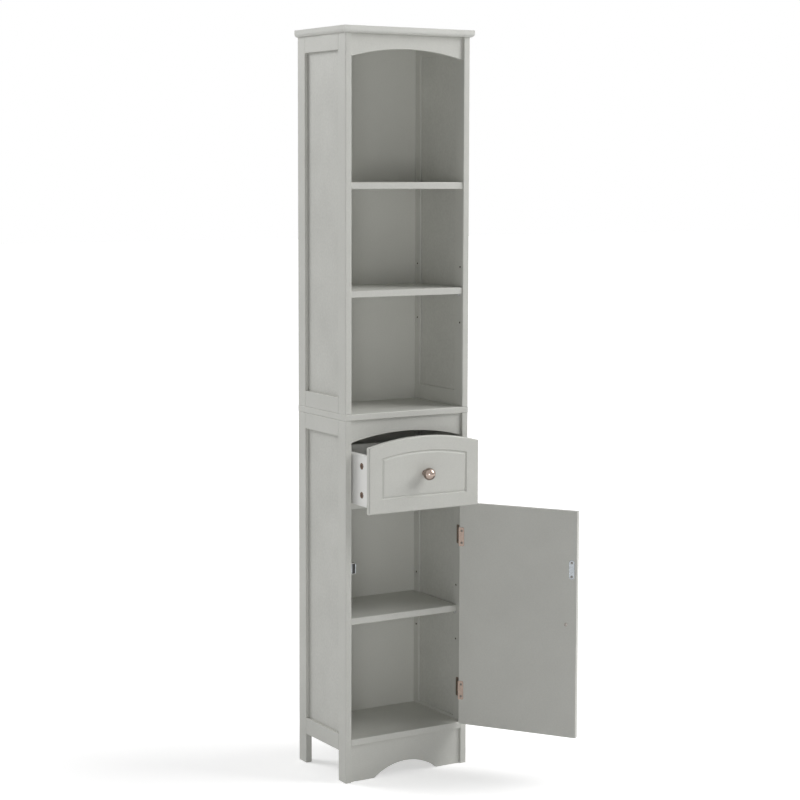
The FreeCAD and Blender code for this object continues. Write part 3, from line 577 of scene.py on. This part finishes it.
@dataclass
class WoodScrew(Fitting):
    """A countersunk wood screw with a cross recess, its head just proud of its seat."""

    length: float = 11.0
    pitch: float = 1.2
    proud: float = 0.12

    def shape(self) -> bmesh.types.BMesh:
        """Press and turn the screw.

        Returns:
            The screw with its head up at Z = 0.
        """
        below = [(2.92, -0.05), (2.85, -0.2), (1.45, -1.5)]
        turns = int((self.length - 5.0) / self.pitch)
        for turn in range(turns):
            height = -2.6 - self.pitch * turn
            below += [(1.15, height + 0.3), (1.4, height), (1.15, height - 0.3)]
        below += [(0.9, -self.length + 1.4), (0.1, -self.length)]
        bm = CrossHead(radius=2.8, arm=1.3, half_width=0.34, depth=0.9, dome=0.22, below=below).build()
        bmesh.ops.translate(bm, verts=bm.verts, vec=(0.0, 0.0, self.proud))
        return bm


@dataclass
class CamLock(Fitting):
    """A cam: a cast disc with a rim, a cross for the driver and a waist below its face."""

    def shape(self) -> bmesh.types.BMesh:
        """Press and turn the cam.

        Returns:
            The cam with its face up at Z = 0.
        """
        below = [(6.9, -0.15), (7.45, -0.15), (7.5, -0.3), (7.5, -1.9), (6.6, -2.1), (6.6, -7.4),
                 (7.4, -7.6), (7.4, -9.3), (7.2, -9.5)]
        return CrossHead(radius=6.6, arm=4.1, half_width=0.85, depth=2.6, dome=-0.35, below=below).build()


@dataclass
class ShelfPin(Fitting):
    """A shelf pin: a ribbed shaft in the post, a collar, and a head with a flat top."""

    ribs: int = 4
    rib_pitch: float = 1.5
    flat_height: float = 2.5

    def shape(self) -> bmesh.types.BMesh:
        """Turn the pin and cut its flat.

        Returns:
            The pin, its shaft below Z = 0 and its head above, flat towards +X.
        """
        outline = [(1.9, -8.0), (2.35, -7.4)]
        for rib in range(self.ribs):
            height = -6.6 + self.rib_pitch * rib
            outline += [(2.35, height), (2.45, height + 0.4), (2.35, height + 0.8)]
        outline += [(2.4, 0.0), (3.45, 0.0), (3.5, 0.1)] + arc((3.0, 5.5), 0.5, 0.0, 90.0, 4) + [(0.0, 6.0)]
        bm = lathe(outline, 40)
        cut = bmesh.ops.bisect_plane(bm, geom=bm.verts[:] + bm.edges[:] + bm.faces[:],
                                     plane_co=(self.flat_height, 0, 0), plane_no=(1, 0, 0),
                                     clear_outer=True)["geom_cut"]
        rim = [item for item in cut if isinstance(item, bmesh.types.BMEdge)]
        bmesh.ops.holes_fill(bm, edges=rim, sides=0)
        bmesh.ops.recalc_face_normals(bm, faces=bm.faces)
        return bm


@dataclass
class RawBoreWithPaintedShade(Fitting):
    """Bare wall and floor of a drilled hole, just inside the painted board; near black is painted shade."""

    radius: float = 2.13
    depth: float = 7.9
    wall: float = 0.12
    floor: float = 0.1

    def shape(self) -> bmesh.types.BMesh:
        """Turn the bore's lining.

        Returns:
            The lining with its mouth up, just below Z = 0.
        """
        inner = self.radius - self.wall
        return lathe([(0.0, self.floor - self.depth), (inner, self.floor - self.depth), (inner, -0.1),
                      (self.radius, -0.1), (self.radius, -self.depth), (0.0, -self.depth)], 24)

    def build(self, palette: Palette) -> bpy.types.Object:
        """Make the bores as one piece that stands beside the nodes, for no node of its own."""
        return self.made(palette, self.node)


@dataclass
class HingePin(Fitting):
    """A hinge pin with a turned ball tip at each end."""

    tip_height: float = 1.4

    def shape(self) -> bmesh.types.BMesh:
        """Turn the pin.

        Returns:
            The pin, centred on its height.
        """
        tip = [(1.25, 0.0), (1.85, 0.0), (1.9, 0.08), (1.9, 0.5), (1.5, 0.62)]
        tip += arc((0.0, 0.35), 1.45, 20.0, 90.0, 6)
        top = [(radius, min(HINGE_HALF + height, HINGE_HALF + self.tip_height)) for radius, height in tip]
        bottom = [(radius, -height) for radius, height in reversed(top)]
        return lathe(bottom + top, 32)


@dataclass
class StrikePlate(Fitting):
    """The steel plate on the door: round ends, a rolled rim and a sunk field."""

    segments: int = 48
    end_radius: float = 6.25
    half_straight: float = 15.75
    thickness: float = 1.2
    rim_round: float = 0.45

    def shape(self) -> bmesh.types.BMesh:
        """Draw a disc out long, thicken it and roll its rim.

        Returns:
            The plate lying on Z = 0, its length along X.
        """
        bm = bmesh.new()
        bmesh.ops.create_circle(bm, cap_ends=True, segments=self.segments, radius=self.end_radius)
        half_step = Matrix.Rotation(math.pi / self.segments, 3, "Z")
        bmesh.ops.rotate(bm, verts=bm.verts, cent=(0, 0, 0), matrix=half_step)
        for vert in bm.verts:
            vert.co.x += math.copysign(self.half_straight, vert.co.x)
        grown = bmesh.ops.extrude_face_region(bm, geom=bm.faces[:])["geom"]
        upper = [item for item in grown if isinstance(item, bmesh.types.BMVert)]
        bmesh.ops.translate(bm, verts=upper, vec=(0, 0, self.thickness))
        bmesh.ops.recalc_face_normals(bm, faces=bm.faces)
        top = [face for face in bm.faces if face.normal.z > 0.9]
        rim = [edge for face in top for edge in face.edges]
        bmesh.ops.bevel(bm, geom=rim, offset=self.rim_round, offset_type="OFFSET", segments=3, profile=0.5,
                        material=-1, affect="EDGES")
        top = [face for face in bm.faces if face.normal.z > 0.99 and face.calc_area() > 50.0]
        bmesh.ops.inset_region(bm, faces=top, thickness=0.7, depth=0.0)
        bmesh.ops.inset_region(bm, faces=top, thickness=0.3, depth=-0.25)
        return bm


@dataclass
class Fittings:
    """All the fittings that are modelled in full."""

    palette: Palette
    post_faces: Sequence[float] = (7.5, 301.5)
    board_cam_sides: Sequence[float] = (31.5, 277.5)
    board_cam_depths: Sequence[float] = (5.0, 181.0)
    board_cam_heights: Sequence[float] = (85.0, 626.0, 1343.0)
    pin_holes: Sequence[Point] = ((-3.0, 1100.5), (183.0, 1100.5), (7.0, 357.5), (183.0, 357.5))
    pin_rows: float = 64.0
    drawer_sides: Sequence[float] = (11.5, 297.5)
    drawer_fixing_heights: Sequence[float] = (666.2, 731.2)
    drawer_knob: Point = (154.5, 710.0)
    door_knob: Point = (35.5, 362.5)

    def carcass(self) -> list[Fitting]:
        """List the fittings of the cabinet's body.

        Returns:
            The fittings.
        """
        cams = [(Vector((x, y, z)), DOWN)
                for z in self.board_cam_heights for y in self.board_cam_depths for x in self.board_cam_sides]
        pins = [(Vector((x, y, z)), axis)
                for y, z in self.pin_holes for x, axis in zip(self.post_faces, (RIGHT, LEFT))]
        bores = [(point + UP * step, axis)
                 for point, axis in pins for step in (-self.pin_rows, self.pin_rows)]
        leaf = [(Vector((300.3, -5.0, z)), LEFT) for z in hinge_screw_heights()]
        catch = [(Vector((10.5, 6.1, CATCH_HEIGHT + step)), RIGHT) for step in (-17.5, 17.5)]
        hinges = [(Vector((*HINGE_AXIS, z)), UP) for z in HINGE_HEIGHTS]
        return [
            CamLock("carcass_cam_locks", Carrier.CABINET, Finish.CAM_METAL, cams),
            ShelfPin("shelf_pins", Carrier.CABINET, Finish.PIN_METAL, pins),
            # The pin holes' lining is near black: painted shade.
            RawBoreWithPaintedShade("pin_hole_bores", Carrier.CABINET, Finish.RAW_BOARD, bores),
            WoodScrew("cabinet_screws", Carrier.CABINET, Finish.SCREW_METAL, leaf + catch),
            HingePin("hinge_pins", Carrier.CABINET, Finish.HINGE_METAL, hinges),
        ]

    def drawer(self) -> list[Fitting]:
        """List the fittings of the drawer.

        Returns:
            The fittings.
        """
        rows = [(x, axis, z) for x, axis in zip(self.drawer_sides, (LEFT, RIGHT))
                for z in self.drawer_fixing_heights]
        cams = [(Vector((x, 19.0, z)), axis) for x, axis, z in rows]
        screws = [(Vector((x, 182.0, z)), axis) for x, axis, z in rows]
        knob_x, knob_z = self.drawer_knob
        return [
            Knob("drawer_knob", Carrier.DRAWER, Finish.KNOB_METAL,
                 [(Vector((knob_x, FRONT_FACE, knob_z)), FRONT)]),
            KnobScrew("drawer_knob_screw", Carrier.DRAWER, Finish.BRIGHT_SCREW,
                      [(Vector((knob_x, -5.0, knob_z)), BACK)], reach=22.0),
            CamLock("drawer_cam_locks", Carrier.DRAWER, Finish.CAM_METAL, cams),
            WoodScrew("drawer_back_screws", Carrier.DRAWER, Finish.SCREW_METAL, screws, length=30.0),
        ]

    def door(self) -> list[Fitting]:
        """List the fittings of the door.

        Returns:
            The fittings.
        """
        leaf = [(Vector((292.0, -0.8, z)), BACK) for z in hinge_screw_heights()]
        strike = [(Vector((22.5, -0.8, CATCH_HEIGHT + step)), BACK) for step in (-16.0, 16.0)]
        knob_x, knob_z = self.door_knob
        return [
            Knob("door_knob", Carrier.DOOR, Finish.KNOB_METAL,
                 [(Vector((knob_x, FRONT_FACE, knob_z)), FRONT)]),
            KnobScrew("door_knob_screw", Carrier.DOOR, Finish.BRIGHT_SCREW,
                      [(Vector((knob_x, DOOR_BACK, knob_z)), BACK)], reach=25.0),
            WoodScrew("door_screws", Carrier.DOOR, Finish.SCREW_METAL, leaf + strike),
            StrikePlate("strike_plate", Carrier.DOOR, Finish.CATCH_STEEL,
                        [(Vector((22.5, DOOR_BACK, CATCH_HEIGHT)), BACK)]),
        ]

    def build(self) -> list[bpy.types.Object]:
        """Build every fitting and return the new pieces."""
        return [fitting.build(self.palette) for fitting in self.carcass() + self.drawer() + self.door()]


def hinge_screw_heights() -> list[float]:
    """Return the heights of the screws of both hinges."""
    return [middle + step for middle in HINGE_HEIGHTS for step in (-14.0, 14.0)]


# --------------------------------------------------------------- modelled boards
def largest_face(bm: bmesh.types.BMesh, direction: Vector) -> bmesh.types.BMFace:
    """Return the largest face that looks in a direction."""
    facing = [face for face in bm.faces if face.normal.dot(direction) > 0.99]
    return max(facing, key=lambda face: face.calc_area())


def round_over(bm: bmesh.types.BMesh, edges: Sequence[bmesh.types.BMEdge], radius: float,
               segments: int) -> None:
    """Round edges over."""
    bmesh.ops.bevel(bm, geom=list(edges), offset=radius, offset_type="OFFSET", segments=segments, profile=0.5,
                    material=-1, affect="EDGES", clamp_overlap=True)


@dataclass
class Board:
    """A board that stands for one node, in a finish, on a body."""

    node: str
    carrier: Carrier
    finish: Finish

    def shape(self) -> bmesh.types.BMesh:
        """Return the board in millimetres, as it is with the drawer and the door closed."""
        raise NotImplementedError

    def build(self, palette: Palette) -> bpy.types.Object:
        """Make the board as a piece that replaces its node.

        Args:
            palette: The finishes.

        Returns:
            The new piece.
        """
        bm = self.shape()
        bm.transform(Matrix.Scale(MM, 4) @ self.carrier.move)
        mesh = bpy.data.meshes.new(f"{self.node}_detail")
        bm.to_mesh(mesh)
        bm.free()
        piece = add_piece(mesh)
        palette.dress(piece, palette.made[self.finish])
        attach(piece, self.carrier.value)
        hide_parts(self.node)
        return piece


@dataclass
class RoutedFront(Board):
    """A drawer front or door: rounded edges and a routed panel line on the outer face."""

    left: float
    right: float
    bottom: float
    top: float
    outer_y: float
    thickness: float
    arch_radius: float | None = None
    edge_round: float = 3.2
    back_round: float = 1.0
    margin: float = 31.75
    routing: Sequence[Point] = ((0.4, -0.5), (1.6, -2.0), (0.8, -0.3), (1.0, 0.3), (2.0, 1.6), (1.8, 0.9))

    def ring(self, inset: float) -> list[Point]:
        """Draw the front's outline in by a distance, its top edge arched where it has an arch.

        Args:
            inset: The distance.

        Returns:
            The points of the outline.
        """
        middle, half = (self.left + self.right) / 2.0, (self.right - self.left) / 2.0 - inset
        radius = self.arch_radius - inset if self.arch_radius else 0.0
        steps = 48 if radius else 1
        points = [(middle - half, self.bottom + inset), (middle + half, self.bottom + inset)]
        for step in range(steps + 1):
            across = half - 2.0 * half * step / steps
            drop = radius - math.sqrt(radius ** 2 - across ** 2) if radius else 0.0
            points.append((middle + across, self.top - inset - drop))
        return points

    def section(self) -> list[Point]:
        """Draw the section of the edge and the panel line.

        Returns:
            Pairs of inset and depth, from the back to the field's rim.
        """
        back, edge = self.back_round, self.edge_round
        points = [(back - x, self.thickness - back + y) for x, y in arc((0.0, 0.0), back, 90.0, 0.0, 3)]
        points += [(edge - x, edge - y) for x, y in arc((0.0, 0.0), edge, 0.0, 90.0, 6)]
        inset, depth = self.margin, 0.0
        points.append((inset, depth))
        for width, fall in self.routing:
            inset, depth = inset + width, depth - fall
            points.append((inset, depth))
        return points

    def shape(self) -> bmesh.types.BMesh:
        """Bridge the outlines along the section.

        Returns:
            The front with its rounded edges and its panel line.
        """
        bm = bmesh.new()
        loops = []
        for inset, depth in self.section():
            verts = [bm.verts.new((x, self.outer_y + depth, z)) for x, z in self.ring(inset)]
            loops.append([bm.edges.new(pair) for pair in zip(verts, verts[1:] + verts[:1])])
        for near, far in zip(loops, loops[1:]):
            bmesh.ops.bridge_loops(bm, edges=near + far)
        close_ends(bm)
        return bm


@dataclass
class MouldedBoard(Board):
    """A board whose front and side edges are rounded, as large as its node."""

    top_round: float
    under_round: float

    def shape(self) -> bmesh.types.BMesh:
        """Round a block's edges over, but not along its back.

        Returns:
            The board.
        """
        low, high = (Vector(corner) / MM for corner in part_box(self.node))
        bm = bmesh.new()
        bmesh.ops.create_cube(bm, size=1.0)
        bmesh.ops.scale(bm, verts=bm.verts, vec=high - low)
        bmesh.ops.translate(bm, verts=bm.verts, vec=(low + high) / 2.0)
        for direction, radius in ((DOWN, self.under_round), (UP, self.top_round)):
            edges = [edge for edge in largest_face(bm, direction).edges
                     if sum(vert.co.y for vert in edge.verts) / 2.0 < high.y - 0.01]
            round_over(bm, edges, radius, 8)
        return bm


def add_piece(mesh: bpy.types.Mesh) -> bpy.types.Object:
    """Shade a mesh smoothly between its sharp edges and add it as a piece.

    Args:
        mesh: The finished mesh, in metres.

    Returns:
        The piece, named as its mesh.
    """
    mesh.shade_smooth()
    mesh.set_sharp_from_angle(angle=math.radians(SHARP_ANGLE))
    piece = bpy.data.objects.new(mesh.name, mesh)
    bpy.context.scene.collection.objects.link(piece)
    weights = piece.modifiers.new("even_shading", "WEIGHTED_NORMAL")
    weights.keep_sharp = True
    LOG.info("built %s with %d faces", piece.name, len(mesh.polygons))
    return piece


@dataclass
class Boards:
    """The boards whose mouldings are modelled in full."""

    palette: Palette
    arch_half_width: float = 147.0
    arch_rise: float = 19.5
    arch_gap: float = 2.5

    def build(self) -> list[bpy.types.Object]:
        """Build the boards.

        Returns:
            The new pieces.
        """
        span, rise = self.arch_half_width, self.arch_rise
        arch_radius = (span ** 2 + rise ** 2) / (2.0 * rise) - self.arch_gap
        boards = [
            # The crown's paint is lighter than the other boards' paint: painted light.
            MouldedBoard("crown_board", Carrier.CABINET, Finish.CROWN, top_round=1.2, under_round=8.0),
            MouldedBoard("middle_board", Carrier.CABINET, Finish.PAINTED_BOARD,
                         top_round=2.0, under_round=2.0),
            RoutedFront("drawer_front", Carrier.DRAWER, Finish.PAINTED_BOARD,
                        left=FRONT_LEFT, right=FRONT_RIGHT, bottom=FRONT_JOINT, top=794.0,
                        outer_y=FRONT_FACE, thickness=12.0, arch_radius=arch_radius),
            RoutedFront("door_panel", Carrier.DOOR, Finish.PAINTED_BOARD,
                        left=FRONT_LEFT, right=FRONT_RIGHT, bottom=101.5, top=623.5,
                        outer_y=FRONT_FACE, thickness=DOOR_BACK - FRONT_FACE),
        ]
        return [board.build(self.palette) for board in boards]


# ----------------------------------------------------------------------- studio
@dataclass(frozen=True)
class Softbox:
    """A square lamp that faces the cabinet from a direction, far enough away to be soft and even."""

    name: str
    azimuth: float
    elevation: float
    level: float
    distance: float = 4.0
    size: float = 2.0
    aim_height: float = 0.9

    def hang(self, middle: Vector) -> None:
        """Hang the lamp at its place round a point on the floor.

        The level is the light on a surface that faces the lamp, as a share of what shows a
        white surface as white.

        Args:
            middle: The point on the floor.
        """
        turn, rise = math.radians(self.azimuth), math.radians(self.elevation)
        aim = middle + Vector((0.0, 0.0, self.aim_height))
        way = Vector((math.cos(turn) * math.cos(rise), math.sin(turn) * math.cos(rise), math.sin(rise)))
        data = bpy.data.lights.new(self.name, "AREA")
        data.size = self.size
        data.energy = self.level * (math.pi * self.distance) ** 2
        lamp = bpy.data.objects.new(self.name, data)
        lamp.location = aim + way * self.distance
        lamp.rotation_euler = way.to_track_quat("Z", "Y").to_euler()
        bpy.context.scene.collection.objects.link(lamp)


@dataclass
class Studio:
    """The pale floor, the lamps and the camera."""

    middle: Vector
    softboxes: Sequence[Softbox]
    ambient: float
    camera_place: Vector = field(default_factory=lambda: Vector((-2.330, -3.930, 1.392)))
    camera_turn: float = math.radians(31.155)
    camera_dip: float = math.radians(-5.886)
    camera_roll: float = math.radians(0.149)
    lens: float = 89.49
    sensor: float = 36.0
    shift_up: float = -0.035
    floor_glow: float = 0.45
    glow_from: float = 0.5
    glow_to: float = 2.5

    def camera(self) -> None:
        """Place the camera where the photograph was taken from."""
        data = bpy.data.cameras.new("camera")
        data.lens = self.lens
        data.sensor_width = self.sensor
        data.shift_y = self.shift_up
        data.clip_end = 100.0
        camera = bpy.data.objects.new("camera", data)
        turn = Matrix.Rotation(-self.camera_turn, 4, "Z")
        dip = Matrix.Rotation(math.pi / 2.0 + self.camera_dip, 4, "X")
        roll = Matrix.Rotation(self.camera_roll, 4, "Z")
        camera.matrix_world = Matrix.Translation(self.middle + self.camera_place) @ turn @ dip @ roll
        bpy.context.scene.collection.objects.link(camera)
        bpy.context.scene.camera = camera

    @staticmethod
    def seen(tree: bpy.types.NodeTree) -> bpy.types.NodeSocket:
        """Tell what the camera sees, itself or in metal or glass, from light on the object.

        Args:
            tree: The node tree that asks.

        Returns:
            1 for what is seen, and 0 for light on the object.
        """
        path = tree.nodes.new("ShaderNodeLightPath")
        value = path.outputs["Is Camera Ray"]
        for name in ("Is Glossy Ray", "Is Transmission Ray"):
            either = tree.nodes.new("ShaderNodeMath")
            either.operation = "MAXIMUM"
            tree.links.new(value, either.inputs[0])
            tree.links.new(path.outputs[name], either.inputs[1])
            value = either.outputs[0]
        return value

    def world(self) -> None:
        """Light all round at a plain level, and show white behind the cabinet."""
        world = bpy.data.worlds.new("studio")
        bpy.context.scene.world = world
        world.use_nodes = True
        tree = world.node_tree
        background = tree.nodes["Background"]
        background.inputs["Color"].default_value = (1.0, 1.0, 1.0, 1.0)
        strength = tree.nodes.new("ShaderNodeMapRange")
        strength.inputs["To Min"].default_value = self.ambient
        strength.inputs["To Max"].default_value = 1.0
        tree.links.new(self.seen(tree), strength.inputs["Value"])
        tree.links.new(strength.outputs["Result"], background.inputs["Strength"])

    def floor(self, size: float = 60.0) -> None:
        """Lay a pale floor that shows white but keeps the cabinet's shadow.

        Args:
            size: The floor's length and width.
        """
        mesh = bpy.data.meshes.new("floor")
        bm = bmesh.new()
        bmesh.ops.create_grid(bm, x_segments=1, y_segments=1, size=size / 2.0)
        bm.to_mesh(mesh)
        bm.free()
        floor = bpy.data.objects.new("floor", mesh)
        bpy.context.scene.collection.objects.link(floor)
        graph = Graph("floor")
        graph.set(Roughness=0.9, Specular_IOR_Level=0.1)
        graph.shader.inputs["Base Color"].default_value = (0.82, 0.82, 0.82, 1.0)
        graph.shader.inputs["Emission Color"].default_value = (1.0, 1.0, 1.0, 1.0)
        far = graph.tree.nodes.new("ShaderNodeVectorMath")
        far.operation = "DISTANCE"
        far.inputs[1].default_value = self.middle
        graph.link(graph.place, far.inputs[0])
        glow = graph.tree.nodes.new("ShaderNodeMapRange")
        glow.interpolation_type = "SMOOTHSTEP"
        for name, value in (("From Min", self.glow_from), ("From Max", self.glow_to),
                            ("To Min", self.floor_glow), ("To Max", 1.0)):
            glow.inputs[name].default_value = value
        graph.link(far.outputs["Value"], glow.inputs["Value"])
        shown = graph.tree.nodes.new("ShaderNodeMath")
        shown.operation = "MULTIPLY"
        graph.link(glow.outputs["Result"], shown.inputs[0])
        graph.link(self.seen(graph.tree), shown.inputs[1])
        graph.link(shown.outputs[0], graph.shader.inputs["Emission Strength"])
        mesh.materials.append(graph.material)

    def build(self) -> None:
        """Set up the whole studio."""
        bpy.context.scene.view_settings.view_transform = "Standard"
        self.world()
        self.floor()
        for softbox in self.softboxes:
            softbox.hang(self.middle)
        self.camera()


SOFTBOXES = (
    Softbox("right_softbox", azimuth=330.0, elevation=35.0, level=0.89, size=2.6),
    Softbox("left_softbox", azimuth=128.0, elevation=28.0, level=0.64, aim_height=1.35),
    Softbox("front_fill", azimuth=238.0, elevation=0.0, level=0.17, size=1.2, aim_height=0.9),
)
AMBIENT = 0.15


# ------------------------------------------------------------------------- main
@dataclass(frozen=True)
class EasedEdges:
    """A board's sharp edges, rounded a little so that they catch the light and joints show."""

    radius: float = 0.8
    segments: int = 2
    flat_within: float = 0.5
    sharp_beyond: float = 70.0

    def ease(self, board: bpy.types.Object) -> None:
        """Join a board's loose corners and flat triangles, and round its edges, with modifiers.

        Args:
            board: The board, whose own mesh stays as it is.
        """
        weld = board.modifiers.new("join_corners", "WELD")
        weld.merge_threshold = MERGE_DISTANCE * MM
        merge = board.modifiers.new("merge_flat", "DECIMATE")
        merge.decimate_type = "DISSOLVE"
        merge.angle_limit = math.radians(self.flat_within)
        ease = board.modifiers.new("ease_edges", "BEVEL")
        ease.width = self.radius * MM
        ease.segments = self.segments
        ease.limit_method = "ANGLE"
        ease.angle_limit = math.radians(self.sharp_beyond)
        ease.use_clamp_overlap = False
        ease.harden_normals = True


def dress_boards(palette: Palette) -> None:
    """Give every node of the frame its finish, and ease the edges of the boards.

    Args:
        palette: The finishes.
    """
    edges = EasedEdges()
    boards = {Finish.PAINTED_BOARD.slot, Finish.DRAWER_BOARD.slot}
    for part in frame["record"]["subparts"]:
        node = frame["nodes"][part["node"]]
        panel = part["node"].endswith(("left_panel", "right_panel"))
        finish = palette.made[Finish.SIDE_PANEL] if panel else palette.by_slot[part["material_slot"]]
        palette.dress(node, finish)
        if part["material_slot"] in boards:
            edges.ease(node)
        LOG.info("dressed %s in %s", part["node"], part["material_slot"])


def main() -> None:
    """Dress the cabinet, build its fittings and set up the studio."""
    palette = Palette()
    dress_boards(palette)
    Boards(palette).build()
    Fittings(palette).build()
    low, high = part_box("middle_board")
    middle = (Vector(low) + Vector(high)) / 2.0
    middle.z = 0.0
    Studio(middle, SOFTBOXES, AMBIENT).build()


if __name__ == "__main__":
    main()
